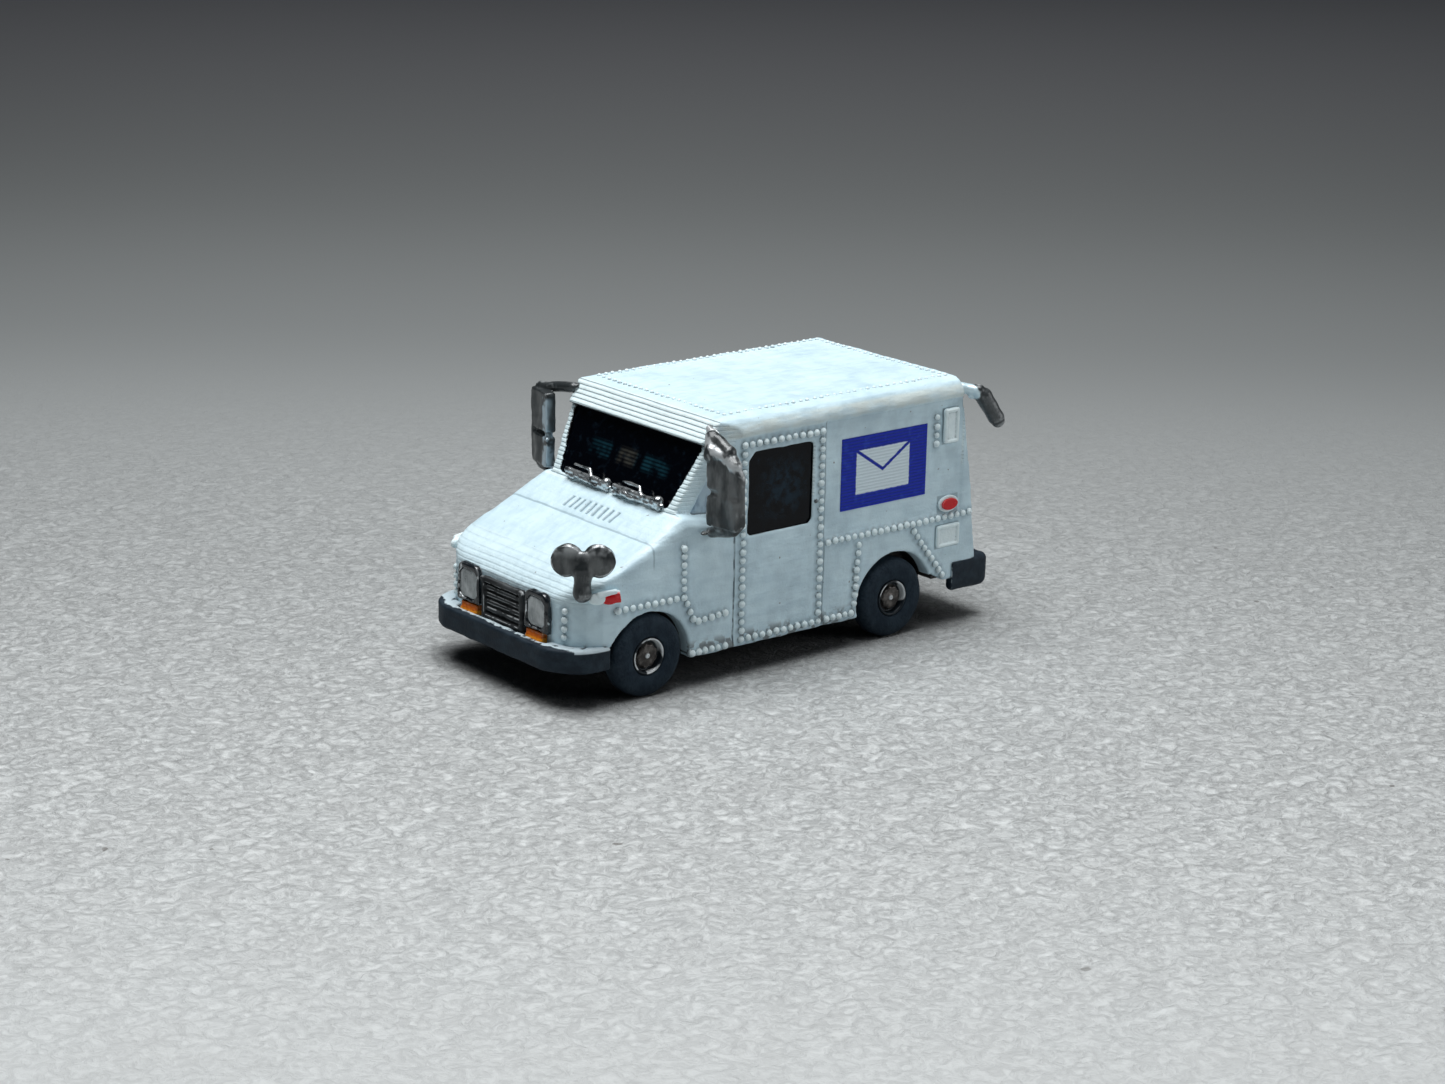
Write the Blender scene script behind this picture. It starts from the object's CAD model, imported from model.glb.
import math

import bpy
import bmesh
import numpy as np
from mathutils import Matrix, Vector
from mathutils.kdtree import KDTree


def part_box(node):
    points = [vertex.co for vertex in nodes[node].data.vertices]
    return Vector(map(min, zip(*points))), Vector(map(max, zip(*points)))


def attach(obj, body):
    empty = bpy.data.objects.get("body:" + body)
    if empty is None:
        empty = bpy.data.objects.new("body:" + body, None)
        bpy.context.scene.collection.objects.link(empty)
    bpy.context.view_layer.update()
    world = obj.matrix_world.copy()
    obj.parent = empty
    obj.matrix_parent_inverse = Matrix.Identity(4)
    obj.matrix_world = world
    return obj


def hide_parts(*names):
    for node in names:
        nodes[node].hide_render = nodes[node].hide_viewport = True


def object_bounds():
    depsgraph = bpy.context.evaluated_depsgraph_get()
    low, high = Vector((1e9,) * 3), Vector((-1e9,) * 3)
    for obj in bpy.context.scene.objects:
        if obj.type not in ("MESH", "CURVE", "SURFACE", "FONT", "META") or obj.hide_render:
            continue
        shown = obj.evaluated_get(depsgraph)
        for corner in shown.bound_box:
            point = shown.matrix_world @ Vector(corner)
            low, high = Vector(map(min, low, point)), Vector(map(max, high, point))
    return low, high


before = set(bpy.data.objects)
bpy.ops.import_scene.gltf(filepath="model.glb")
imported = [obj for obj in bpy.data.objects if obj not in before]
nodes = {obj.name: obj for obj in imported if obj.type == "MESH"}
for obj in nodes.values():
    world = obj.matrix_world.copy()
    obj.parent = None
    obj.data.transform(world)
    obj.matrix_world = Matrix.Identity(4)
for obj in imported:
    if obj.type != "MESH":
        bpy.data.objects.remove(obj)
cad_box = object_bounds()
MM = 0.001


# -------- places read from the CAD model
def node_box(name):
    """Lowest and highest corner of a CAD node, in millimetres."""
    low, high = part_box(name)
    return Vector(low) / MM, Vector(high) / MM


def hub(axle):
    low, high = node_box(axle + "_tyre_left")
    return (low.x + high.x) / 2, (low.z + high.z) / 2


FRONT_HUB, TYRE_RADIUS = hub("front")     # the tyres stand on z = 0
SHELL_LOW, SHELL_HIGH = node_box("body_shell")
ROOF = SHELL_HIGH.z
SIDE = node_box("fuel_door")[0].y
DOOR_FRONT = FRONT_HUB - 5.30
DOOR_REAR = FRONT_HUB - 11.12
HOOD_SEAM = FRONT_HUB - 0.30
NOSE_FACE = node_box("grille")[0].x
LAYER = 0.20                              # height of one print layer
NOWHERE = 99.0                            # a place that the truck doesn't reach


def add_object(name, data):
    made = bpy.data.objects.new(name, data)
    bpy.context.scene.collection.objects.link(made)
    return made


def mesh_of(build, name):
    mesh = bpy.data.meshes.new(name)
    build.to_mesh(mesh)
    build.free()
    return mesh


# -------- camera
IMAGE_WIDTH = 1445
SENSOR_MM = 36.0
FOCAL_PIXELS = 3128
CAMERA_AZIMUTH = math.radians(50.36)      # from straight ahead of the truck towards its left
CAMERA_ELEVATION = math.radians(16.44)
CAMERA_ROLL = math.radians(1.17)
CAMERA_DISTANCE = 156.35 * MM
CAMERA_TARGET = Vector((1.955, 3.16, 6.0)) * MM


def add_camera():
    az = CAMERA_AZIMUTH
    el = CAMERA_ELEVATION
    right = Vector((-math.sin(az), math.cos(az), 0.0))
    back = Vector((math.cos(az) * math.cos(el), math.sin(az) * math.cos(el), math.sin(el)))
    up = back.cross(right)
    turned_right = right * math.cos(CAMERA_ROLL) + up * math.sin(CAMERA_ROLL)
    turned_up = up * math.cos(CAMERA_ROLL) - right * math.sin(CAMERA_ROLL)
    data = bpy.data.cameras.new("camera")
    data.sensor_width = SENSOR_MM
    data.lens = SENSOR_MM * FOCAL_PIXELS / IMAGE_WIDTH
    data.clip_start = 0.005
    data.clip_end = 5.0
    camera = add_object("camera", data)
    rotation = Matrix((turned_right, turned_up, back)).transposed().to_4x4()
    camera.matrix_world = Matrix.Translation(CAMERA_TARGET + back * CAMERA_DISTANCE) @ rotation
    bpy.context.scene.camera = camera


# -------- materials
class Paint:
    """A node material. Places are the object's own, in millimetres."""

    def __init__(self, name):
        self.material = bpy.data.materials.new(name)
        self.material.use_nodes = True
        self.tree = self.material.node_tree
        self.tree.nodes.clear()
        output = self.node("OutputMaterial")
        self.shader = self.node("BsdfPrincipled")
        self.tree.links.new(self.shader.outputs["BSDF"], output.inputs["Surface"])
        coords = self.node("TexCoord")
        scaled = self.node("VectorMath")
        scaled.operation = "SCALE"
        self.tree.links.new(coords.outputs["Object"], scaled.inputs[0])
        scaled.inputs["Scale"].default_value = 1 / MM
        self.place = scaled.outputs["Vector"]
        split = self.node("SeparateXYZ")
        self.tree.links.new(self.place, split.inputs[0])
        self.x, self.y, self.z = split.outputs

    def node(self, kind):
        return self.tree.nodes.new("ShaderNode" + kind)

    def feed(self, socket, value):
        if isinstance(value, bpy.types.NodeSocket):
            self.tree.links.new(value, socket)
        elif isinstance(value, tuple) and len(value) == 3 and socket.type == "RGBA":
            socket.default_value = (*value, 1.0)
        else:
            socket.default_value = value

    def math(self, operation, first, second=0.0):
        node = self.node("Math")
        node.operation = operation
        self.feed(node.inputs[0], first)
        self.feed(node.inputs[1], second)
        return node.outputs[0]

    def above(self, value, edge, soft=0.03):
        """0 below the edge, 1 above it."""
        node = self.node("MapRange")
        node.interpolation_type = "SMOOTHSTEP"
        self.feed(node.inputs["Value"], value)
        node.inputs["From Min"].default_value = edge - soft
        node.inputs["From Max"].default_value = edge + soft
        return node.outputs["Result"]

    def below(self, value, edge, soft=0.03):
        return self.less(1.0, self.above(value, edge, soft))

    def within(self, value, low, high, soft=0.03):
        return self.less(self.above(value, low, soft), self.above(value, high, soft))

    def add(self, first, second):
        return self.math("ADD", first, second)

    def less(self, first, second):
        return self.math("SUBTRACT", first, second)

    def times(self, *factors):
        result = factors[0]
        for factor in factors[1:]:
            result = self.math("MULTIPLY", result, factor)
        return result

    def either(self, first, second):
        return self.math("MAXIMUM", first, second)

    def aside(self):
        """Distance from the truck's middle, to either side."""
        return self.math("ABSOLUTE", self.y)

    def noise(self, scale, detail, stretch=(1, 1, 1), offset=0.0, roughness=0.55, distortion=0.0):
        """Noise between 0 and 1 with that many features per millimetre."""
        moved = self.node("VectorMath")
        moved.operation = "MULTIPLY_ADD"
        self.feed(moved.inputs[0], self.place)
        moved.inputs[1].default_value = stretch
        moved.inputs[2].default_value = (offset, offset, offset)
        node = self.node("TexNoise")
        self.feed(node.inputs["Vector"], moved.outputs["Vector"])
        node.inputs["Scale"].default_value = scale
        node.inputs["Detail"].default_value = detail
        node.inputs["Roughness"].default_value = roughness
        node.inputs["Distortion"].default_value = distortion
        return node.outputs[0]

    def spots(self, scale, detail, edge, soft, **more):
        """1 in the patches where such noise is above the edge."""
        return self.above(self.noise(scale, detail, **more), edge, soft)

    def stripes(self, value, pitch, share=0.3):
        """Soft lines that repeat with the pitch, each taking that share of it."""
        phase = self.math("FRACT", self.math("DIVIDE", value, pitch))
        centred = self.math("ABSOLUTE", self.less(phase, 0.5))
        return self.above(centred, 0.5 - share / 2, share / 3)

    def radius(self, x, z):
        """Distance from an axis across the truck."""
        dx = self.less(self.x, x)
        dz = self.less(self.z, z)
        return self.math("SQRT", self.add(self.times(dx, dx), self.times(dz, dz)))

    def mix(self, share, first, second):
        node = self.node("Mix")
        node.data_type = "RGBA"
        self.feed(node.inputs[0], share)
        self.feed(node.inputs[6], first)
        self.feed(node.inputs[7], second)
        return node.outputs[2]

    def over(self, under, colour, *masks):
        """Lays a colour over another where all the masks let it through."""
        return self.mix(self.times(*masks), under, colour)

    def blend(self, share, first, second):
        """Number between first and second."""
        node = self.node("Mix")
        self.feed(node.inputs[0], share)
        self.feed(node.inputs[2], first)
        self.feed(node.inputs[3], second)
        return node.outputs[0]

    def attribute(self, name):
        node = self.node("Attribute")
        node.attribute_name = name
        return node.outputs["Fac"]

    def edge(self):
        return self.attribute("edge")

    def finish(self, colour, roughness, metallic=0.0, height=None, depth=0.03, coat=0.0, specular=0.5):
        """depth is the bump's height in millimetres."""
        self.shader.inputs["Specular IOR Level"].default_value = specular
        self.feed(self.shader.inputs["Base Color"], colour)
        self.feed(self.shader.inputs["Roughness"], roughness)
        self.feed(self.shader.inputs["Metallic"], metallic)
        self.shader.inputs["Coat Weight"].default_value = coat
        self.shader.inputs["Coat Roughness"].default_value = 0.15
        if height is not None:
            bump = self.node("Bump")
            bump.inputs["Distance"].default_value = depth * MM
            self.feed(bump.inputs["Height"], height)
            self.tree.links.new(bump.outputs["Normal"], self.shader.inputs["Normal"])
        return self.material


WHITE = (0.68, 0.87, 0.95)
WHITE_SHADED = (0.50, 0.68, 0.78)
THICK_WHITE = (0.84, 0.97, 1.0)
THICK_SHADED = (0.72, 0.88, 0.93)
WASH = (0.10, 0.15, 0.18)
CREAM = (0.76, 0.80, 0.72)
SLATE = (0.007, 0.016, 0.027)
SILVER = (0.62, 0.66, 0.68)
PROUD_PLATES = [node_box(name) for name in ("fuel_door", "cargo_hatch", "rear_marker_housing_left")]


def white_paint(name, streak=(0.25, 1.0, 1.0), body=False, white=WHITE, shaded=WHITE_SHADED):
    """Thick brushed white over the print, a dark wash in the hollows, specks of dirt."""
    paint = Paint(name)
    broad = paint.spots(0.35, 3.0, 0.52, 0.30)
    brushed = paint.noise(2.6, 3.0, stretch=streak, offset=3.0)
    fine = paint.noise(9.0, 2.0, offset=7.0)
    tone = paint.times(broad, 0.55)
    tone = paint.add(tone, paint.times(paint.above(brushed, 0.56, 0.12), 0.30))
    colour = paint.mix(tone, white, shaded)
    edge = paint.edge()
    hollow = paint.below(edge, -0.28, 0.25)
    colour = paint.over(colour, WASH, hollow, paint.above(fine, 0.42, 0.2), 0.75)
    speck = paint.spots(3.4, 1.0, 0.795, 0.015, offset=21.0)
    colour = paint.over(colour, (0.12, 0.10, 0.09), speck, 0.75)
    height = paint.add(paint.times(brushed, 1.0), paint.times(fine, 0.35))
    if body:
        colour, height = body_markings(paint, colour, height)
    rough = paint.blend(paint.spots(1.3, 2.0, 0.5, 0.25, offset=11.0), 0.34, 0.55)
    return paint.finish(colour, rough, height=height, depth=0.045)


def body_markings(paint, colour, height):
    """Print layers on the sloped faces, thin seams, the creamier band under the roof, a black inside."""
    colour = paint.over(colour, (0.88, 1.0, 1.0), paint.attribute("slope"), 0.7)
    layers = paint.times(paint.stripes(paint.z, LAYER, 0.30), paint.attribute("slope"))
    colour = paint.over(colour, (0.34, 0.50, 0.60), layers, 0.36)
    height = paint.less(height, layers)
    colour = paint.over(colour, (0.12, 0.20, 0.25), paint.attribute("slot"), 0.85)
    for low, high in PROUD_PLATES:
        ring = paint.times(paint.within(paint.x, low.x - 0.05, high.x + 0.05, 0.04),
                           paint.within(paint.z, low.z - 0.07, high.z + 0.03, 0.04),
                           paint.above(paint.y, SIDE - 0.2, 0.05))
        colour = paint.over(colour, (0.16, 0.22, 0.26), ring, 0.6)
    grime = paint.spots(3.0, 4.0, 0.52, 0.14, offset=61.0)
    colour = paint.over(colour, (0.21, 0.31, 0.37), paint.attribute("halo"), paint.blend(grime, 0.32, 0.66))
    far_out = paint.above(paint.aside(), SIDE - 0.25, 0.05)
    smear = paint.times(paint.spots(0.8, 5.0, 0.53, 0.12, stretch=(1, 1, 0.6), offset=71.0),
                        far_out)
    colour = paint.over(colour, (0.33, 0.45, 0.53), smear, 0.30)
    band = paint.times(far_out, paint.within(paint.z, ROOF - 1.02, ROOF - 0.30, 0.08),
                       paint.spots(1.1, 3.0, 0.45, 0.18, stretch=(0.5, 1, 1.6), offset=31.0))
    colour = paint.over(colour, CREAM, band, 0.55)
    wander = paint.times(paint.less(paint.noise(1.2, 2.0, offset=41.0), 0.5), 0.06)
    along = paint.add(paint.x, wander)
    front_seam = paint.times(paint.within(along, DOOR_FRONT - 0.05, DOOR_FRONT + 0.05, 0.02),
                             paint.below(paint.z, 8.0, 0.05), far_out)
    front_seam = paint.times(front_seam, paint.blend(paint.spots(2.2, 1.0, 0.5, 0.1, offset=5.0),
                                                     0.45, 1.0))
    rear_seam = paint.times(paint.within(along, DOOR_REAR - 0.045, DOOR_REAR + 0.045, 0.02), far_out, 0.55,
                            paint.below(paint.z, ROOF - 1.0, 0.05))
    colour = paint.mix(paint.either(front_seam, rear_seam), colour, (0.11, 0.16, 0.20))
    height = paint.less(height, paint.either(front_seam, rear_seam))
    on_top = paint.above(paint.z, 6.5, 0.3)
    hood_seam = paint.times(paint.within(along, HOOD_SEAM - 0.05, HOOD_SEAM + 0.05, 0.03), on_top, 0.6)
    colour = paint.mix(hood_seam, colour, (0.22, 0.32, 0.38))
    bare = paint.times(paint.within(paint.z, 0.5, 2.2, 0.25), far_out,
                       paint.spots(1.7, 3.0, 0.54, 0.05, offset=51.0))
    colour = paint.over(colour, (0.13, 0.14, 0.14), bare, 0.8)
    colour = paint.mix(paint.attribute("inside"), colour, (0.006, 0.006, 0.007))
    return colour, height


CHAMFER_START = 4.1                       # the nose corners run back from here, across the truck
CHAMFER_SLOPE = 0.414                     # how far back they run for each millimetre across


def slate_paint(name, base=SLATE, worn=(0.50, 0.60, 0.66), wear=0.0, lit=(0.020, 0.035, 0.050),
                strip=None):
    """Dark brushed paint, worn pale along its edges."""
    paint = Paint(name)
    brushed = paint.noise(2.2, 3.0, stretch=(1, 0.4, 1), offset=2.0)
    fine = paint.noise(8.0, 2.0, offset=9.0)
    colour = paint.mix(paint.above(brushed, 0.52, 0.18), base, lit)
    chipped = paint.times(paint.above(paint.edge(), 0.50 - wear, 0.10),
                          paint.spots(1.9, 3.0, 0.60 - wear, 0.05, offset=15.0))
    colour = paint.over(colour, worn, chipped, 0.85)
    if strip:
        far_x, low_z = strip
        corner = paint.either(paint.less(paint.aside(), CHAMFER_START), 0.0)
        ahead = paint.add(paint.math("ABSOLUTE", paint.x), paint.times(corner, CHAMFER_SLOPE))
        ahead = paint.add(ahead, paint.times(paint.noise(2.6, 3.0, offset=36.0), 0.5))
        line = paint.times(paint.below(ahead, far_x, 0.05),
                           paint.above(paint.z, low_z, 0.03),
                           paint.spots(1.5, 3.0, 0.40, 0.05, offset=35.0))
        colour = paint.over(colour, (0.62, 0.74, 0.80), line, 0.9)
    rough = paint.blend(brushed, 0.50, 0.78)
    height = paint.add(brushed, paint.times(fine, 0.4))
    return paint.finish(colour, rough, height=height, depth=0.05, specular=0.25)


MID_GREY = (0.145, 0.155, 0.158)
DULL_GREY = (0.060, 0.068, 0.072)


def gunmetal(name, bright=0.60, silver_above=NOWHERE, pale_inside=None, lit_above=NOWHERE,
             white_beyond=NOWHERE, light=(0.125, 0.135, 0.138)):
    """Glossy dark paint with soft upright streaks and bright edges. Where asked, a sloping silver top,
    a pale blue inner side, pale rubs above a height, and a white root."""
    paint = Paint(name)
    streaks = paint.noise(1.7, 3.0, stretch=(1, 1, 0.35), offset=4.0)
    colour = paint.mix(paint.above(streaks, 0.52, 0.16), (0.030, 0.036, 0.039), light)
    rub = paint.noise(1.4, 2.0, offset=12.0)
    shine = paint.times(paint.above(paint.edge(), 0.20, 0.18), paint.above(rub, bright, 0.06))
    leaning = paint.add(paint.z, paint.times(paint.aside(), 0.45))
    top = paint.within(paint.add(leaning, streaks), silver_above, silver_above + 0.42, 0.08)
    lit = paint.times(paint.above(paint.z, lit_above, 0.40), paint.above(rub, 0.50, 0.07), 0.85)
    silver = paint.either(paint.either(shine, lit), paint.times(top, 0.8))
    colour = paint.mix(silver, colour, SILVER)
    if pale_inside:
        pale = paint.times(paint.within(paint.aside(), 6.45, 7.02, 0.06),
                           paint.below(paint.z, pale_inside, 0.1),
                           paint.spots(1.2, 2.0, 0.40, 0.05, offset=22.0))
        colour = paint.mix(pale, colour, (0.46, 0.58, 0.66))
    root = paint.above(paint.add(paint.x, paint.times(rub, 0.4)), white_beyond, 0.05)
    colour = paint.mix(root, colour, WHITE)
    rough = paint.blend(streaks, 0.22, 0.42)
    return paint.finish(colour, rough, metallic=0.30, height=streaks, depth=0.035, coat=0.25, specular=0.4)


def bright_metal(name):
    """Silver paint laid on in blobs."""
    paint = Paint(name)
    dark = (0.12, 0.14, 0.15)
    blobs = paint.noise(2.2, 2.0, offset=6.0)
    colour = paint.mix(paint.above(blobs, 0.56, 0.08), SILVER, dark)
    hollow = paint.below(paint.edge(), -0.25, 0.2)
    colour = paint.over(colour, dark, hollow, 0.8)
    rough = paint.blend(blobs, 0.12, 0.38)
    return paint.finish(colour, rough, metallic=0.8, height=blobs, depth=0.08, coat=0.4)


def bezel_paint(name):
    """Black lamp surround with silver brushed over its corners and sides."""
    paint = Paint(name)
    blobs = paint.noise(1.6, 2.0, offset=8.0)
    silver = paint.either(paint.times(paint.above(paint.edge(), 0.30, 0.15),
                                      paint.above(blobs, 0.52, 0.04)),
                          paint.above(blobs, 0.65, 0.03))
    colour = paint.mix(silver, (0.008, 0.012, 0.016), SILVER)
    metal = paint.blend(silver, 0.1, 0.85)
    rough = paint.blend(blobs, 0.14, 0.40)
    return paint.finish(colour, rough, metallic=metal, height=blobs, depth=0.07, coat=0.4)


def lamp_glass(name):
    """Satin grey lens, paler in the middle, with fine upright flutes."""
    paint = Paint(name)
    cloud = paint.noise(1.5, 3.0, offset=14.0)
    colour = paint.mix(paint.above(cloud, 0.5, 0.18), (0.25, 0.28, 0.29), (0.52, 0.56, 0.57))
    rim = paint.above(paint.edge(), 0.35, 0.2)
    colour = paint.over(colour, (0.70, 0.76, 0.78), rim, 0.7)
    flutes = paint.stripes(paint.y, 0.16, 0.4)
    height = paint.add(cloud, paint.times(flutes, 0.5))
    return paint.finish(colour, paint.blend(cloud, 0.18, 0.45), metallic=0.35, height=height,
                        depth=0.03, coat=0.5)


def lens_colour(name, dark, light, pale, z_split, coat=0.2):
    """Glossy lamp paint, darker above the split, with a pale rub on its edges."""
    paint = Paint(name)
    cloud = paint.noise(2.0, 3.0, offset=16.0)
    upper = paint.above(paint.add(paint.z, paint.times(cloud, 0.15)), z_split, 0.06)
    colour = paint.mix(upper, light, dark)
    rubbed = paint.times(paint.above(paint.edge(), 0.45, 0.15), paint.above(cloud, 0.55, 0.06))
    colour = paint.over(colour, pale, rubbed, 0.7)
    return paint.finish(colour, paint.blend(cloud, 0.15, 0.35), height=cloud, depth=0.05, coat=coat,
                        specular=0.3)


def dark_glass(name, shapes):
    """Black glazing over a hollow cab, with dust and, on the windshield, dim striped shapes inside."""
    paint = Paint(name)
    dust = paint.noise(2.5, 4.0, offset=17.0)
    colour = paint.mix(paint.above(dust, 0.66, 0.12), (0.0005, 0.0010, 0.0025), (0.004, 0.009, 0.015))
    if shapes == "screen":
        lines = paint.blend(paint.stripes(paint.z, 0.17, 0.5), 0.25, 1.0)
        patch = paint.spots(1.1, 2.0, 0.46, 0.14, stretch=(0, 1, 1.3), offset=2.4)
        row = paint.times(paint.within(paint.z, 9.95, 10.60, 0.16), paint.within(paint.y, -2.9, 3.2, 0.3))
        middle = paint.within(paint.y, -0.75, 0.70, 0.20)
        gaps = paint.either(paint.within(paint.y, -1.35, -0.75, 0.15),
                            paint.within(paint.y, 0.75, 1.3, 0.15))
        hue = paint.mix(middle, (0.012, 0.060, 0.085), (0.085, 0.085, 0.072))
        colour = paint.over(colour, hue, lines, patch, row, paint.less(1.0, gaps), 0.6)
    if shapes == "door":
        patch = paint.times(paint.within(paint.x, -0.9, 1.4, 0.8), paint.within(paint.z, 8.0, 10.4, 0.8),
                            paint.spots(2.2, 3.0, 0.50, 0.12, offset=3.4))
        colour = paint.over(colour, (0.02, 0.06, 0.10), patch, 0.35)
    if shapes == "quarter":
        patch = paint.spots(1.4, 4.0, 0.47, 0.10, stretch=(1, 1, 0.5), offset=5.4)
        colour = paint.over((0.26, 0.39, 0.52), (0.66, 0.83, 0.93), patch, 0.8)
    rough = paint.blend(paint.above(dust, 0.55, 0.2), 0.10, 0.25)
    return paint.finish(colour, rough, height=dust, depth=0.008, specular=0.16)


def decal_film(name, low, high):
    """Blue film with fine print lines and a plain white envelope in its middle."""
    paint = Paint(name)
    wobble = paint.times(paint.less(paint.noise(6.0, 2.0), 0.5), 0.07)
    x = paint.add(paint.x, wobble)
    z = paint.add(paint.z, wobble)
    lines = paint.stripes(paint.z, 0.165, 0.45)
    cloud = paint.noise(2.5, 3.0, offset=18.0)
    blue = paint.mix(lines, (0.006, 0.024, 0.46), (0.008, 0.030, 0.30))
    blue = paint.over(blue, (0.03, 0.08, 0.52), paint.above(cloud, 0.60, 0.06), 0.35)
    middle_x = (low.x + high.x) / 2 + 0.1
    middle_z = (low.z + high.z) / 2
    half_wide = 1.80
    half_high = 1.14
    paper = paint.times(paint.within(x, middle_x - half_wide, middle_x + half_wide, 0.03),
                        paint.within(z, middle_z - half_high, middle_z + half_high, 0.03))
    off = paint.math("ABSOLUTE", paint.less(x, middle_x))
    flap = paint.add(z, paint.times(paint.less(half_wide, off), 0.66))
    fold = paint.within(flap, middle_z + half_high - 0.10, middle_z + half_high + 0.10, 0.03)
    white = paint.times(paper, paint.less(1.0, fold))
    colour = paint.mix(white, blue, (0.70, 0.83, 0.90))
    height = paint.add(lines, cloud)
    return paint.finish(colour, paint.blend(cloud, 0.45, 0.65), height=height, depth=0.015, specular=0.2)


def wheel_paint(name, x, z):
    """Brown-grey hub disc with a bright centre, black ring, silver rubbed on the lip."""
    paint = Paint(name)
    r = paint.radius(x, z)
    cloud = paint.noise(2.6, 3.0, offset=19.0)
    hub_colour = paint.mix(paint.above(cloud, 0.52, 0.14), (0.040, 0.036, 0.034), (0.14, 0.130, 0.122))
    outer = paint.above(r, 0.66, 0.02)
    lip = paint.times(paint.within(r, 0.76, 0.90, 0.02),
                      paint.spots(1.0, 1.0, 0.52, 0.04, offset=24.0))
    dot = paint.below(r, 0.13, 0.03)
    colour = paint.mix(outer, hub_colour, (0.008, 0.014, 0.020))
    colour = paint.mix(paint.either(lip, dot), colour, (0.66, 0.70, 0.72))
    rough = paint.blend(cloud, 0.20, 0.50)
    metal = paint.blend(outer, 0.6, 0.2)
    return paint.finish(colour, rough, metallic=metal, height=cloud, depth=0.05, specular=0.3)


def tyre_paint(name, x, z):
    """Matt slate paint brushed round the wheel, dusty near the tread."""
    paint = Paint(name)
    r = paint.radius(x, z)
    brushed = paint.noise(1.8, 4.0, offset=26.0)
    fine = paint.noise(7.0, 2.0, offset=27.0)
    colour = paint.mix(paint.above(brushed, 0.50, 0.16), (0.0065, 0.0155, 0.027), (0.016, 0.030, 0.045))
    dusty = paint.times(paint.above(r, TYRE_RADIUS - 0.45, 0.25), paint.above(fine, 0.5, 0.15), 0.5)
    colour = paint.mix(dusty, colour, (0.030, 0.045, 0.060))
    height = paint.add(brushed, paint.times(fine, 0.5))
    return paint.finish(colour, paint.blend(fine, 0.65, 0.88), height=height, depth=0.06, specular=0.2)


def print_resin(name):
    """Bare brown-grey print with its layers showing."""
    paint = Paint(name)
    cloud = paint.noise(1.5, 4.0, offset=28.0)
    colour = paint.mix(paint.above(cloud, 0.5, 0.18), (0.030, 0.028, 0.026), (0.075, 0.070, 0.066))
    layers = paint.stripes(paint.z, LAYER, 0.4)
    height = paint.add(cloud, layers)
    return paint.finish(colour, paint.blend(cloud, 0.55, 0.8), height=height, depth=0.04)


def steel(name):
    paint = Paint(name)
    cloud = paint.noise(3.0, 3.0, stretch=(1, 0.2, 1), offset=29.0)
    colour = paint.mix(cloud, (0.30, 0.31, 0.32), (0.52, 0.53, 0.54))
    return paint.finish(colour, paint.blend(cloud, 0.25, 0.45), metallic=1.0, height=cloud, depth=0.01)


# -------- shapes
def cad_copy(*names):
    """A welded copy of CAD nodes' surfaces, in millimetres."""
    build = bmesh.new()
    for name in names:
        build.from_mesh(nodes[name].data)
    bmesh.ops.scale(build, vec=(1 / MM,) * 3, verts=build.verts)
    bmesh.ops.remove_doubles(build, verts=build.verts, dist=0.002)
    return build


def add_ball(build, centre, radius, squash=(1, 1, 1), turn=0.0):
    """A lump of paint, to be merged into the skin. turn is about the vertical, in degrees."""
    matrix = Matrix.Translation(centre) @ Matrix.Rotation(math.radians(turn), 4, "Z")
    matrix = matrix @ Matrix.Diagonal((*squash, 1))
    bmesh.ops.create_icosphere(build, subdivisions=3, radius=radius, matrix=matrix)


def add_strand(build, start, end, start_radius, end_radius):
    """A tapering round-ended strand from start to end, to be merged into the skin."""
    start, end = Vector(start), Vector(end)
    run = end - start
    matrix = Matrix.Translation((start + end) / 2) @ run.to_track_quat("Z", "Y").to_matrix().to_4x4()
    bmesh.ops.create_cone(build, cap_ends=True, segments=24, radius1=start_radius, radius2=end_radius,
                          depth=run.length, matrix=matrix)
    for place, radius in ((start, start_radius), (end, end_radius)):
        bmesh.ops.create_icosphere(build, subdivisions=3, radius=radius, matrix=Matrix.Translation(place))


def skin_mesh(build, name, voxel, passes):
    """One soft skin over everything in the bmesh."""
    mesh = mesh_of(build, name + "_block")
    block = add_object(name + "_block", mesh)
    remesh = block.modifiers.new("skin", "REMESH")
    remesh.mode = "VOXEL"
    remesh.voxel_size = voxel
    soften = block.modifiers.new("soften", "SMOOTH")
    soften.factor = 0.5
    soften.iterations = passes
    skin = bpy.data.meshes.new_from_object(block.evaluated_get(bpy.context.evaluated_depsgraph_get()))
    bpy.data.objects.remove(block)
    bpy.data.meshes.remove(mesh)
    skin.name = name
    return skin


def read_vectors(items, field):
    values = np.empty(len(items) * 3)
    items.foreach_get(field, values)
    return values.reshape(-1, 3)


def ripple(points, size, seed):
    """Smooth value, mostly between -1 and 1, that varies over about size millimetres."""
    dice = np.random.default_rng(seed)
    total = np.zeros(len(points))
    waves = 8
    for _ in range(waves):
        direction = dice.normal(size=3)
        direction *= 2 * math.pi / (size * dice.uniform(0.7, 1.6) * np.linalg.norm(direction))
        total += np.sin(points @ direction + dice.uniform(0, 2 * math.pi))
    return total / math.sqrt(waves)


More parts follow.
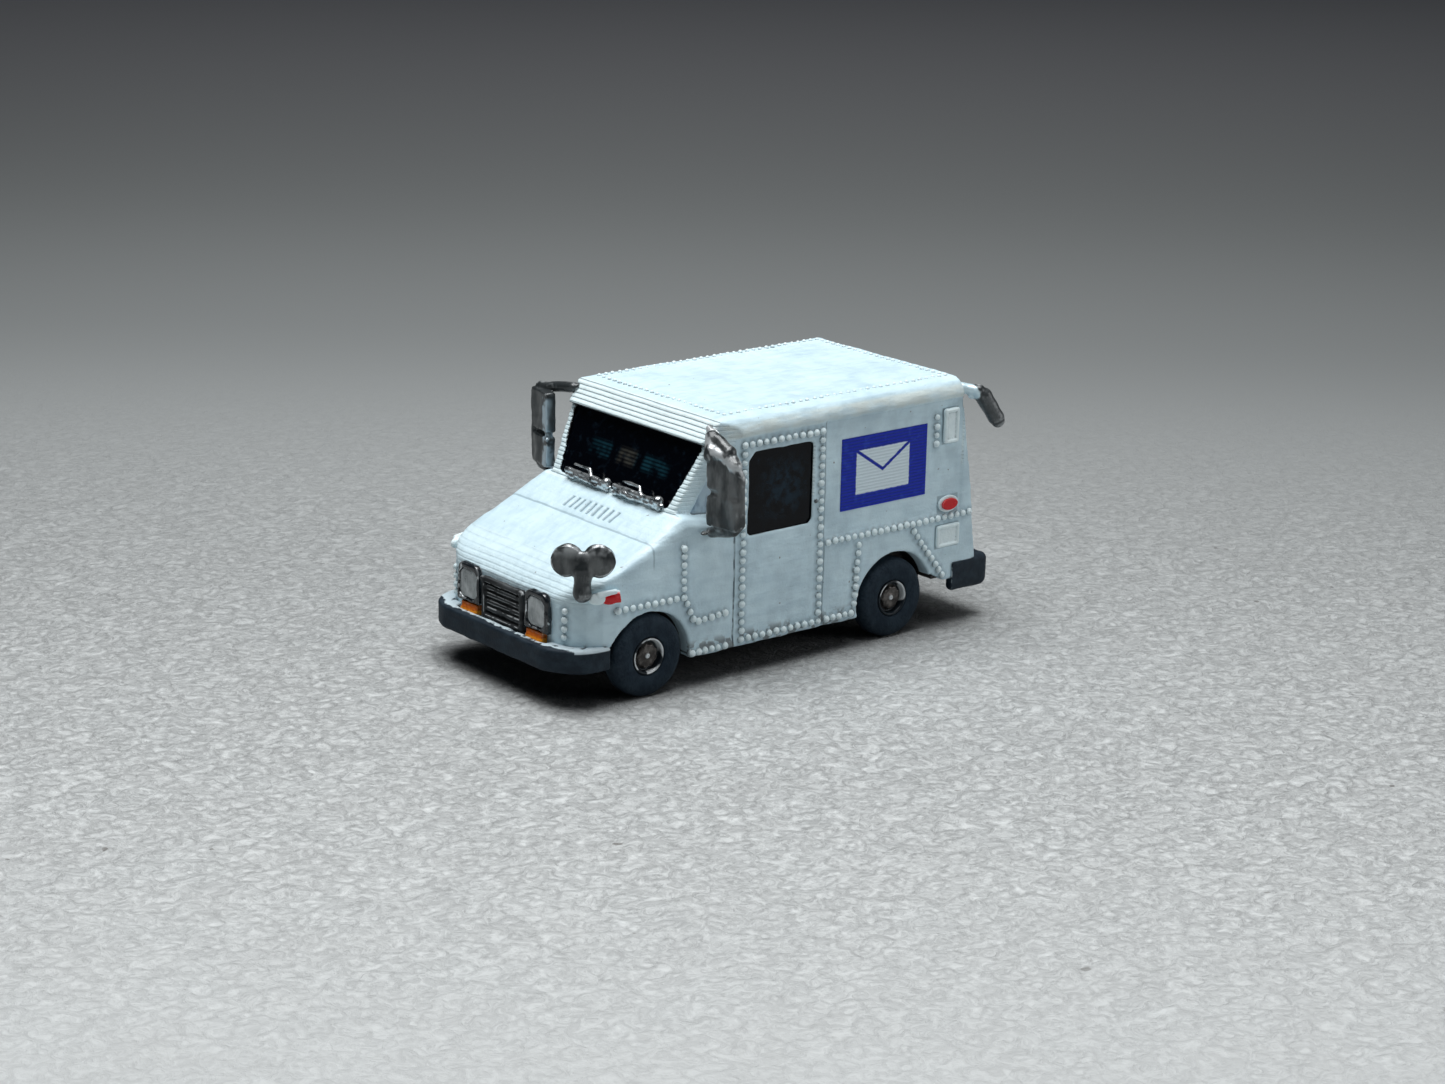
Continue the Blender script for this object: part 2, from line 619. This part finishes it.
def edge_values(mesh, points, normals, reach):
    """How sharply each vertex stands out (positive) or lies in a hollow (negative)."""
    pairs = np.empty(len(mesh.edges) * 2, dtype=np.int64)
    mesh.edges.foreach_get("vertices", pairs)
    first, second = pairs[0::2], pairs[1::2]
    count = np.bincount(pairs, minlength=len(points))

    def around(values):
        sums = np.bincount(first, weights=values[second], minlength=len(points))
        sums += np.bincount(second, weights=values[first], minlength=len(points))
        return sums / np.maximum(count, 1)

    mean = np.stack([around(points[:, axis]) for axis in range(3)], axis=1)
    bend = np.einsum("ij,ij->i", points - mean, normals) / reach
    for _ in range(2):
        bend = 0.5 * bend + 0.5 * around(bend)
    return bend


def store(mesh, name, values):
    layer = mesh.attributes.new(name, "FLOAT", "POINT")
    layer.data.foreach_set("value", values.astype(np.float32))


def settle(mesh, name, body, material, stands_for):
    """Puts a finished mesh, already in metres, into the scene."""
    mesh.polygons.foreach_set("use_smooth", [True] * len(mesh.polygons))
    mesh.materials.clear()
    mesh.materials.append(material)
    piece = add_object(name, mesh)
    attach(piece, body)
    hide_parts(*stands_for)


def move_to_metres(mesh, points):
    mesh.vertices.foreach_set("co", (points * MM).astype(np.float32).ravel())
    mesh.update()


def sculpt(name, material, slot, extra=None, voxel=0.045, passes=3, wobble=0.02):
    """Replaces a CAD node with one soft, slightly uneven skin over it and the lumps that extra adds."""
    build = cad_copy(name)
    if extra:
        extra(build)
    mesh = skin_mesh(build, name + "_skin", voxel, passes)
    points = read_vectors(mesh.vertices, "co")
    normals = read_vectors(mesh.vertices, "normal")
    store(mesh, "edge", edge_values(mesh, points, normals, 0.25 * voxel))
    lift = wobble * (0.7 * ripple(points, 1.5, 3) + 0.3 * ripple(points, 0.6, 4))
    points = points + normals * lift[:, None]
    low, high = (np.array(corner) / MM for corner in cad_box)
    move_to_metres(mesh, np.clip(points, low, high))
    settle(mesh, name + "_painted", "truck", material, [name])


# -------- body shell
def rivet_halo(points):
    """1 beside a side rivet, fading to 0 a little way off."""
    spots = []
    for name in ("side_rivets_left", "side_rivets_right", "nose_rivets"):
        source = cad_copy(name)
        for group in islands(source):
            spots.append(sum((vertex.co for vertex in group), Vector()) / len(group))
        source.free()
    tree = KDTree(len(spots))
    for index, spot in enumerate(spots):
        tree.insert(spot, index)
    tree.balance()
    distance = np.array([tree.find(point)[2] for point in points])
    return np.clip((0.44 - distance) / 0.22, 0, 1)


def shell_piece():
    voxel = 0.085
    mesh = skin_mesh(cad_copy("body_shell"), "shell", voxel, 2)
    points = read_vectors(mesh.vertices, "co")
    normals = read_vectors(mesh.vertices, "normal")
    store(mesh, "edge", edge_values(mesh, points, normals, 0.25 * voxel))
    x, y, z = points.T
    core = points.copy()
    core[:, 0] = np.clip(x, SHELL_LOW.x + 3.0, SHELL_HIGH.x - 3.0)
    core[:, 1] = np.clip(y, -2.5, 2.5)
    core[:, 2] = np.clip(z, 4.0, np.where(x > FRONT_HUB - 3, 4.6, ROOF - 3.5))
    inside = (np.einsum("ij,ij->i", points - core, normals) < 0).astype(float)
    for axle in ("front", "rear"):
        hub_x, hub_z = hub(axle)
        radial = np.hypot(x - hub_x, z - hub_z)
        well = (radial < TYRE_RADIUS + 0.95) & (np.abs(y) < SIDE - 0.75)
        inside = np.maximum(inside, well)
    store(mesh, "inside", inside)
    forward = np.clip((normals[:, 0] - 0.25) / 0.15, 0, 1)
    hood = np.where(x > NOSE_FACE - 1.9, 0.26, 0.07)
    weight = np.where(z > ROOF - 1.25, 1.0, np.where(z > 8.5, 0.75, hood))
    slope = forward * weight * np.clip((z - 4.9) / 0.3, 0, 1) * (1 - inside)
    store(mesh, "slope", slope)
    nearest = np.abs((y / 0.46 + 0.5) % 1.0 - 0.5) * 0.46
    slot = np.clip((0.12 - nearest) / 0.06, 0, 1) * (np.abs(y) < 2.0) * (z > 7.0)
    slot *= (x > FRONT_HUB - 1.34) & (x < FRONT_HUB - 0.60)
    store(mesh, "slot", slot)
    store(mesh, "halo", rivet_halo(points))
    phase = np.abs((z / LAYER) % 1.0 - 0.5)
    groove = slope * np.clip((phase - 0.30) / 0.15, 0, 1)
    lift = 0.022 * ripple(points, 2.3, 1) + 0.010 * ripple(points, 0.7, 2)
    lift = np.where(inside > 0.5, 0.0, lift) - 0.030 * groove - 0.05 * slot
    low, high = node_box("side_decal_left")
    film = (x > low.x - 0.1) & (x < high.x + 0.1)
    film &= (z > low.z - 0.1) & (z < high.z + 0.1)
    lift = np.where(film, -0.01, lift)
    points = points + normals * lift[:, None]
    move_to_metres(mesh, points)
    settle(mesh, "body_shell_painted", "truck", white_paint("body_white", body=True),
           ["body_shell"])


# -------- rivets
def islands(build):
    """Groups of joined vertices, in the same order each run."""
    left = set(build.verts)
    groups = []
    for start in build.verts:
        if start not in left:
            continue
        left.remove(start)
        stack = [start]
        group = []
        while stack:
            vertex = stack.pop()
            group.append(vertex)
            for edge in vertex.link_edges:
                other = edge.other_vert(vertex)
                if other in left:
                    left.remove(other)
                    stack.append(other)
        groups.append(group)
    return groups


def join_rings(build, rings):
    for near, far in zip(rings, rings[1:]):
        for index in range(len(near)):
            following = (index + 1) % len(near)
            build.faces.new((near[index], near[following], far[following], far[index]))


def rivet_piece(name, facing, material, scale=1.02):
    """Round paint-filled heads with a flared foot, where the CAD heads are."""
    source = cad_copy(name)
    spots = []
    for group in islands(source):
        out = facing(group)
        across = out.cross(Vector((0, 0, 1)) if abs(out.z) < 0.9 else Vector((1, 0, 0))).normalized()
        up = out.cross(across)
        reach = [[vertex.co.dot(axis) for vertex in group] for axis in (across, up, out)]
        foot = across * (min(reach[0]) + max(reach[0])) / 2 + up * (min(reach[1]) + max(reach[1])) / 2
        spots.append((foot + out * min(reach[2]), across, up, out))
    source.free()
    spots.sort(key=lambda spot: (round(spot[0].x, 3), round(spot[0].y, 3), round(spot[0].z, 3)))
    profile = ((0.205, -0.03), (0.178, 0.020), (0.165, 0.075),      # radius, height
               (0.140, 0.125), (0.095, 0.165), (0.040, 0.185))
    sides = 14
    dice = np.random.default_rng(len(spots))
    build = bmesh.new()
    for foot, across, up, out in spots:
        size = scale * dice.uniform(0.90, 1.08)
        shift = across * dice.normal(0, 0.012) + up * dice.normal(0, 0.012)
        rings = []
        for radius, height in profile:
            ring = []
            for index in range(sides):
                angle = 2 * math.pi * index / sides
                turn = across * math.cos(angle) + up * math.sin(angle)
                place = foot + shift + turn * radius * size + out * height * size
                ring.append(build.verts.new(place * MM))
            rings.append(ring)
        join_rings(build, rings)
        build.faces.new(rings[-1])
    bmesh.ops.recalc_face_normals(build, faces=build.faces)
    mesh = mesh_of(build, name + "_heads")
    wash = [-1.0, -0.75] + [0.0] * (len(profile) - 2)
    store(mesh, "edge", np.repeat(np.tile(wash, len(spots)), sides))
    settle(mesh, name + "_painted", "truck", material, [name])


def all_rivets():
    material = white_paint("rivet_white", white=THICK_WHITE, shaded=THICK_SHADED)
    rivet_piece("side_rivets_left", lambda group: Vector((0, 1, 0)), material)
    rivet_piece("side_rivets_right", lambda group: Vector((0, -1, 0)), material)
    rivet_piece("roof_rivets", lambda group: Vector((0, 0, 1)), material, scale=0.62)
    angle = math.radians(22.5)
    rivet_piece("nose_rivets", lambda group: Vector(
        (math.cos(angle), math.copysign(math.sin(angle), group[0].co.y), 0)), material)


# -------- wheels
def lathe(name, x, z, face, sign, outline, scallop=None):
    """Turns an outline of (radius, depth in from the wheel's face) round the axle, in metres."""
    sides = 96
    build = bmesh.new()
    rings = []
    for radius, depth in outline:
        ring = []
        for index in range(sides):
            angle = 2 * math.pi * index / sides
            r = scallop(radius, angle) if scallop else radius
            place = Vector((x + r * math.cos(angle), sign * (face - depth), z + r * math.sin(angle)))
            ring.append(build.verts.new(place * MM))
        rings.append(ring)
    join_rings(build, rings + rings[:1])
    bmesh.ops.recalc_face_normals(build, faces=build.faces)
    return mesh_of(build, name)


def uneven(mesh, amount, seed):
    points = read_vectors(mesh.vertices, "co") / MM
    normals = read_vectors(mesh.vertices, "normal")
    lift = amount * (0.7 * ripple(points, 1.6, seed) + 0.3 * ripple(points, 0.5, seed + 1))
    move_to_metres(mesh, points + normals * np.minimum(lift, 0)[:, None])


def wheel_pieces(axle, side):
    x, z = hub(axle)
    sign = 1 if side == "left" else -1
    low, high = node_box(f"{axle}_tyre_{side}")
    face = high.y if sign > 0 else -low.y
    wide = high.y - low.y
    out = TYRE_RADIUS
    rim = 0.95
    tyre_line = [(rim, 0.12), (rim + 0.03, 0.07), (rim + 0.10, 0.035), (rim + 0.22, 0.012),
                 (rim + 0.45, 0.0), (out - 0.38, 0.008), (out - 0.22, 0.05), (out - 0.11, 0.12),
                 (out - 0.04, 0.22), (out, 0.38), (out, wide / 2), (out, wide - 0.38),
                 (out - 0.04, wide - 0.22), (out - 0.11, wide - 0.12),
                 (out - 0.32, wide - 0.02), (rim + 0.40, wide), (rim, wide - 0.10)]
    tyre = lathe("tyre", x, z, face, sign, tyre_line)
    uneven(tyre, 0.035, 5)
    body = axle + "_wheels"
    name = f"{axle}_tyre_{side}"
    settle(tyre, name + "_painted", body, tyre_paint(name + "_slate", x, z), [name])

    def scallop(radius, angle):
        if 0.50 < radius < 0.66:
            return radius + 0.030 * math.cos(9 * angle)
        return radius

    rim_line = [(0.02, 0.10), (0.09, 0.105), (0.13, 0.135), (0.15, 0.175), (0.30, 0.165), (0.50, 0.150),
                (0.56, 0.165), (0.60, 0.21), (0.62, 0.33), (0.70, 0.36), (0.76, 0.34), (0.79, 0.20),
                (0.80, 0.09), (0.83, 0.045), (0.88, 0.035), (0.93, 0.05), (0.95, 0.12), (0.95, wide - 0.10),
                (0.02, wide - 0.10)]
    rim_mesh = lathe("rim", x, z, face, sign, rim_line, scallop)
    uneven(rim_mesh, 0.02, 9)
    name = f"{axle}_rim_{side}"
    settle(rim_mesh, name + "_painted", body, wheel_paint(name + "_metal", x, z), [name])


# -------- mirrors and wipers
def left_cab_mirror_lumps(build):
    """Paint built up over the loop: sloping top, a waist between the heads, drips and a small foot.
    The places across and up are the truck's own, in millimetres."""
    low, high = node_box("cab_mirror_left")
    x = (low.x + high.x) / 2
    for vertex in build.verts:
        rise = min(1.0, max(0.0, (vertex.co.z - 10.6) / 1.6))
        vertex.co.z -= 0.75 * rise * max(0.0, vertex.co.y - 7.0)
    add_ball(build, (x + 0.10, 7.40, 11.0), 0.95, (0.34, 0.95, 1.10), 13)
    add_ball(build, (x + 0.10, 7.45, 9.05), 0.92, (0.36, 0.95, 1.0), 13)
    add_ball(build, (x + 0.10, 7.50, 10.05), 0.96, (0.36, 1.0, 1.25), 13)
    add_ball(build, (x + 0.10, 8.05, 9.6), 0.30, (0.8, 0.8, 1.3))
    add_ball(build, (x + 0.10, 6.95, 8.30), 0.46, (0.6, 1.0, 0.8))
    add_strand(build, (x, 7.35, 12.00), (x - 0.05, 6.1, 12.62), 0.36, 0.28)
    add_strand(build, (x + 0.05, 7.95, 11.45), (x, 6.75, 12.00), 0.36, 0.40)
    add_strand(build, (x + 0.42, 6.55, 11.75), (x + 0.05, 6.10, 12.55), 0.36, 0.32)
    add_strand(build, (x + 0.32, 6.85, 11.9), (x + 0.10, 7.40, 11.8), 0.36, 0.36)
    add_strand(build, (x, 7.0, 8.15), (x - 0.05, 6.0, 7.75), 0.26, 0.22)
    add_ball(build, (x + 0.35, 6.14, 7.78), 0.20, (1.6, 1.0, 0.6))


def right_cab_mirror_lumps(build):
    """A thicker outer tube with two clamps, leaving the gap beside the inner plates."""
    low, high = node_box("cab_mirror_right")
    x = (low.x + high.x) / 2
    outer = low.y + 0.26
    add_strand(build, (x, outer, 11.9), (x, outer, 8.6), 0.26, 0.26)
    add_strand(build, (x, outer + 0.35, 11.8), (x, outer + 0.35, 8.7), 0.22, 0.22)
    add_strand(build, (x - 0.05, outer + 0.3, 12.25), (x - 0.35, -5.5, 12.62), 0.27, 0.27)
    add_ball(build, (x + 0.05, outer + 0.85, 9.95), 0.26, (0.9, 1.7, 0.7))
    add_ball(build, (x + 0.05, outer + 0.75, 8.35), 0.30, (0.9, 1.2, 1.0))


def fender_mirror_lumps(build):
    """Domed faces on the two discs, run together in the middle over a waisted post with a flared foot."""
    low, high = node_box("fender_mirror")
    middle = Vector(((low.x + high.x) / 2, (low.y + high.y) / 2, high.z - 0.74))
    for vertex in build.verts:
        if vertex.co.z < low.z + 1.0:
            vertex.co.z += 0.30
    for share in (-1, 1):
        centre = middle + Vector((-0.58, 0.47, 0)) * share + Vector((0, 0, -0.02))
        add_ball(build, centre, 0.76, (0.46, 1.02, 1.12), 51)
    add_ball(build, middle + Vector((0.10, 0.12, -0.22)), 0.52, (0.60, 1.05, 1.30), 51)
    waist = middle + Vector((0.04, 0.0, -1.10))
    add_strand(build, middle + Vector((0, 0, -0.4)), waist, 0.56, 0.42)
    add_strand(build, waist, (middle.x + 0.06, middle.y, low.z + 0.50), 0.42, 0.46)


def rear_mirror_lumps(build):
    """A bracket heaped with paint and a fuller oval head."""
    low, high = node_box("rear_corner_mirror")
    add_strand(build, (low.x + 2.05, high.y - 1.45, high.z - 0.22),
               (low.x + 1.30, high.y - 0.80, high.z - 0.42), 0.26, 0.34)
    add_ball(build, (low.x + 1.55, high.y - 1.05, high.z - 0.62), 0.26, (1.2, 0.8, 0.8))
    add_strand(build, (low.x + 1.15, high.y - 0.68, high.z - 0.60),
               (low.x + 0.46, high.y - 0.42, low.z + 0.55), 0.42, 0.44)


def wiper_lumps(name):
    """Silver laid on in strands and drops along the blade, with a short arm above it."""
    def add(build):
        low, high = node_box(name)
        x = (low.x + high.x) / 2
        length = high.y - low.y
        dice = np.random.default_rng(int(high.y * 10) + 60)
        blobs = 9
        for index in range(blobs):
            share = (index + 0.5) / blobs
            place = Vector((x + 0.10 + dice.normal(0, 0.03), low.y + share * length,
                            low.z + 0.32 + dice.normal(0, 0.05)))
            add_ball(build, place, dice.uniform(0.10, 0.19), (0.8, 1.9, 0.8))
        for rise, start, end in ((0.50, 0.02, 0.62), (0.22, 0.10, 0.98), (0.40, 0.55, 1.02)):
            add_strand(build, (x + 0.12 - 0.4 * rise, low.y + start * length, low.z + rise + 0.04),
                       (x + 0.16 - 0.4 * rise, low.y + end * length, low.z + rise - 0.04), 0.065, 0.075)
        arm = Vector((x - 0.12, low.y + 0.16 * length, low.z + 0.86))
        elbow = arm + Vector((0.03, 0.36 * length, 0.02))
        add_strand(build, arm, elbow, 0.07, 0.09)
        add_strand(build, elbow, elbow + Vector((0.2, 0.10 * length, -0.45)), 0.09, 0.10)
    return add


# -------- small fittings
def grille_piece():
    high = node_box("grille")[1]

    def lumps(build):
        for sign in (-1, 1):
            add_ball(build, (high.x - 0.06, sign * (high.y - 0.10), high.z - 0.12), 0.17, (0.8, 1.2, 1.0))
        end = Vector((high.x - 0.10, high.y - 0.15, high.z - 0.08))
        add_strand(build, end * Vector((1, -1, 1)), end, 0.10, 0.10)

    sculpt("grille", slate_paint("grille_dark", base=(0.016, 0.018, 0.020), worn=SILVER, wear=0.16,
                                 lit=(0.060, 0.066, 0.070)),
           "grille", extra=lumps, voxel=0.04, passes=2)


def signal_lumps(sign):
    """Orange paint run down over the lamp's lower edge."""
    def add(build):
        low, high = node_box("turn_signal_left")
        for share in (0.22, 0.50, 0.80):
            y = low.y + share * (high.y - low.y)
            add_ball(build, (high.x - 0.02, sign * y, low.z + 0.12), 0.27, (0.8, 1.1, 1.0))
    return add


def marker_lumps(build):
    """The front marker's red paint, rounder and fuller than the lens below it."""
    low, high = node_box("front_marker_lens_left")
    sign = math.copysign(1, next(iter(build.verts)).co.y)
    middle = (low + high) / 2
    add_ball(build, (middle.x + 0.10, sign * (middle.y - 0.02), middle.z - 0.02), 0.34, (1.35, 0.35, 0.85),
             -16 * sign)


def plate_lumps(name):
    """Paint thick along the edges of a side plate."""
    def add(build):
        low, high = node_box(name)
        inset = 0.10
        y = high.y - 0.01
        corners = [(low.x + inset, y, low.z + inset), (high.x - inset, y, low.z + inset),
                   (high.x - inset, y, high.z - inset), (low.x + inset, y, high.z - inset)]
        for start, end in zip(corners, corners[1:] + corners[:1]):
            add_strand(build, start, end, 0.10, 0.10)
    return add


def housing_lumps(build):
    """White paint heaped up ahead of the front marker's lens and along its top."""
    low, high = node_box("front_marker_housing_left")
    sign = math.copysign(1, next(iter(build.verts)).co.y)
    add_ball(build, (high.x - 0.12, sign * (low.y + 0.30), low.z + 0.32), 0.34, (1.3, 0.6, 0.85),
             -16 * sign)
    add_strand(build, (high.x - 0.15, sign * (low.y + 0.42), high.z - 0.05),
               (low.x + 0.45, sign * (high.y - 0.02), high.z + 0.02), 0.15, 0.11)


def left_and_right(stem, material, slot, **options):
    for side in ("left", "right"):
        sculpt(f"{stem}_{side}", material, slot, **options)


def fittings():
    white = white_paint("fitting_white", streak=(1, 1, 1), white=THICK_WHITE, shaded=THICK_SHADED)
    sculpt("front_bumper", slate_paint("front_bumper_slate", strip=(NOSE_FACE + 0.92, 2.88)), "bumper",
           voxel=0.06)
    sculpt("rear_bumper", slate_paint("rear_bumper_slate", wear=0.10, strip=(-SHELL_LOW.x + 0.50, 3.30)),
           "bumper", voxel=0.07)
    grille_piece()
    left_and_right("headlight_bezel", bezel_paint("bezel_black_silver"), "chrome_paint", wobble=0.03)
    left_and_right("headlight_lens", lamp_glass("headlight_satin"), "lens_clear")
    signal_low, signal_high = node_box("turn_signal_left")
    orange = lens_colour("signal_orange", (0.46, 0.105, 0.012), (0.95, 0.34, 0.025), (0.95, 0.7, 0.4),
                         (signal_low.z + signal_high.z) / 2 + 0.05)
    for side, sign in (("left", 1), ("right", -1)):
        sculpt("turn_signal_" + side, orange, "lens_orange", extra=signal_lumps(sign))
    red = lens_colour("marker_red", (0.58, 0.006, 0.010), (0.62, 0.008, 0.012), (0.9, 0.5, 0.5), NOWHERE)
    for stem in ("front_marker", "rear_marker"):
        left_and_right(stem + "_housing", white, "white_paint", voxel=0.035, passes=2,
                       extra=housing_lumps if stem == "front_marker" else None)
        left_and_right(stem + "_lens", red, "lens_red", voxel=0.03, passes=2, wobble=0.01,
                       extra=marker_lumps if stem == "front_marker" else None)
    left_and_right("tail_lamp", red, "lens_red", voxel=0.04)
    for name in ("fuel_door", "cargo_hatch"):
        sculpt(name, white, "white_paint", voxel=0.04, passes=2, wobble=0.015, extra=plate_lumps(name))
    left_and_right("door_lock", bright_metal("lock_silver"), "chrome_paint", voxel=0.025, wobble=0.01)
    sculpt("rear_door", white_paint("rear_door_white", streak=(1, 0.25, 1)), "white_paint",
           voxel=0.07, passes=2, wobble=0.01)
    sculpt("rear_door_handle", slate_paint("handle_slate"), "chrome_paint")


def mirrors_and_wipers():
    for side in ("left", "right"):
        left = side == "left"
        sculpt("cab_mirror_" + side,
               gunmetal("cab_mirror_metal_" + side, silver_above=15.4 if left else NOWHERE,
                        pale_inside=None if left else 11.9,
                        light=MID_GREY if left else DULL_GREY),
               "mirror_paint", extra=left_cab_mirror_lumps if left else right_cab_mirror_lumps,
               voxel=0.055, passes=4, wobble=0.035)
        name = "wiper_" + side
        sculpt(name, bright_metal(name + "_silver"), "wiper_paint", extra=wiper_lumps(name),
               voxel=0.04, passes=2, wobble=0.03)
    sculpt("fender_mirror", gunmetal("fender_mirror_metal", bright=0.52,
                                     lit_above=node_box("fender_mirror")[1].z - 0.30), "mirror_paint",
           extra=fender_mirror_lumps, voxel=0.045, passes=3, wobble=0.03)
    tip = node_box("rear_corner_mirror")[0]
    sculpt("rear_corner_mirror",
           gunmetal("rear_mirror_metal", bright=0.46, light=DULL_GREY, white_beyond=tip.x + 1.80),
           "mirror_paint", extra=rear_mirror_lumps,
           voxel=0.045, wobble=0.03)


# -------- CAD pieces that stay
def repaint(name, material):
    node = nodes[name]
    node.data.materials.clear()
    node.data.materials.append(material)


def repaint_frame():
    repaint("windshield", dark_glass("windshield_black", "screen"))
    for side in ("left", "right"):
        repaint("door_window_" + side, dark_glass("door_glass_" + side, "door"))
        repaint("quarter_window_" + side, dark_glass("quarter_glass_" + side, "quarter"))
        low, high = node_box("side_decal_" + side)
        repaint("side_decal_" + side, decal_film("decal_blue_" + side, low, high))
    repaint("chassis", print_resin("chassis_brown"))
    for axle in ("front", "rear"):
        repaint(axle + "_axle", steel(axle + "_axle_steel"))


# -------- floor and light
FLOOR = (0.45, 0.47, 0.475)
FLOOR_FIBRE = (0.76, 0.795, 0.80)
FLOOR_FAR = (0.23, 0.245, 0.248)
FLOOR_HORIZON = (0.50, 0.51, 0.54)
LIT_SIDE = math.radians(50)               # the paper is brightest out this way from the truck


def floor_paper():
    """Pale grey paper: short fibres, a few dark flecks, falling into shade away from the lamp."""
    paint = Paint("floor_paper")
    reach_x = paint.times(paint.x, math.cos(LIT_SIDE))
    reach_y = paint.times(paint.y, math.sin(LIT_SIDE))
    reach = paint.add(reach_x, reach_y)
    fibre = paint.noise(1.5, 5.0, roughness=0.68, distortion=1.6)
    cloud = paint.noise(0.25, 3.0)
    fleck = paint.spots(0.8, 2.0, 0.775, 0.012, offset=33.0)
    sharp = paint.within(reach, -35, 45, 30)
    colour = paint.mix(paint.blend(sharp, 0.5, paint.above(fibre, 0.52, 0.16)), FLOOR, FLOOR_FIBRE)
    colour = paint.over(colour, (0.48, 0.47, 0.46), paint.above(cloud, 0.5, 0.25), 0.10)
    colour = paint.over(colour, (0.10, 0.085, 0.07), fleck, sharp, 0.7)
    lit = paint.above(reach, -17, 57)
    colour = paint.mix(lit, paint.mix(paint.above(reach, -200, 90), FLOOR_HORIZON, FLOOR_FAR), colour)
    under = paint.times(paint.within(paint.x, SHELL_LOW.x + 0.6, SHELL_HIGH.x + 0.4, 1.5),
                        paint.within(paint.y, -SIDE - 0.3, SIDE + 0.2, 1.1), 0.80)
    colour = paint.mix(under, colour, (0.05, 0.055, 0.06))
    return paint.finish(colour, 0.85, height=paint.times(fibre, sharp), depth=0.32)


LAMPS_AIM = Vector((0, 0, 5)) * MM


def add_lamp(name, place, size, watts):
    light = bpy.data.lights.new(name, "AREA")
    light.energy = watts
    light.size = size
    lamp = add_object(name, light)
    lamp.location = place
    direction = LAMPS_AIM - lamp.location
    lamp.rotation_euler = direction.to_track_quat("-Z", "Y").to_euler()


def add_stage():
    half = 600 * MM
    build = bmesh.new()
    corners = ((-half, -half), (half, -half), (half, half), (-half, half))
    build.faces.new([build.verts.new((x, y, 0.0)) for x, y in corners])
    floor = add_object("floor", mesh_of(build, "floor"))
    floor.data.materials.append(floor_paper())
    world = bpy.data.worlds.new("world")
    world.use_nodes = True
    glow = world.node_tree.nodes["Background"].inputs
    glow["Color"].default_value = (0.28, 0.31, 0.34, 1.0)
    glow["Strength"].default_value = 0.09
    bpy.context.scene.world = world
    add_lamp("softbox", place=(0.012, -0.008, 0.150), size=0.12, watts=0.32)
    add_lamp("fill", place=(-0.110, 0.120, 0.055), size=0.10, watts=0.055)
    bpy.context.scene.view_settings.view_transform = "Standard"


add_camera()
add_stage()
shell_piece()
all_rivets()
for axle in ("front", "rear"):
    for side in ("left", "right"):
        wheel_pieces(axle, side)
fittings()
mirrors_and_wipers()
repaint_frame()
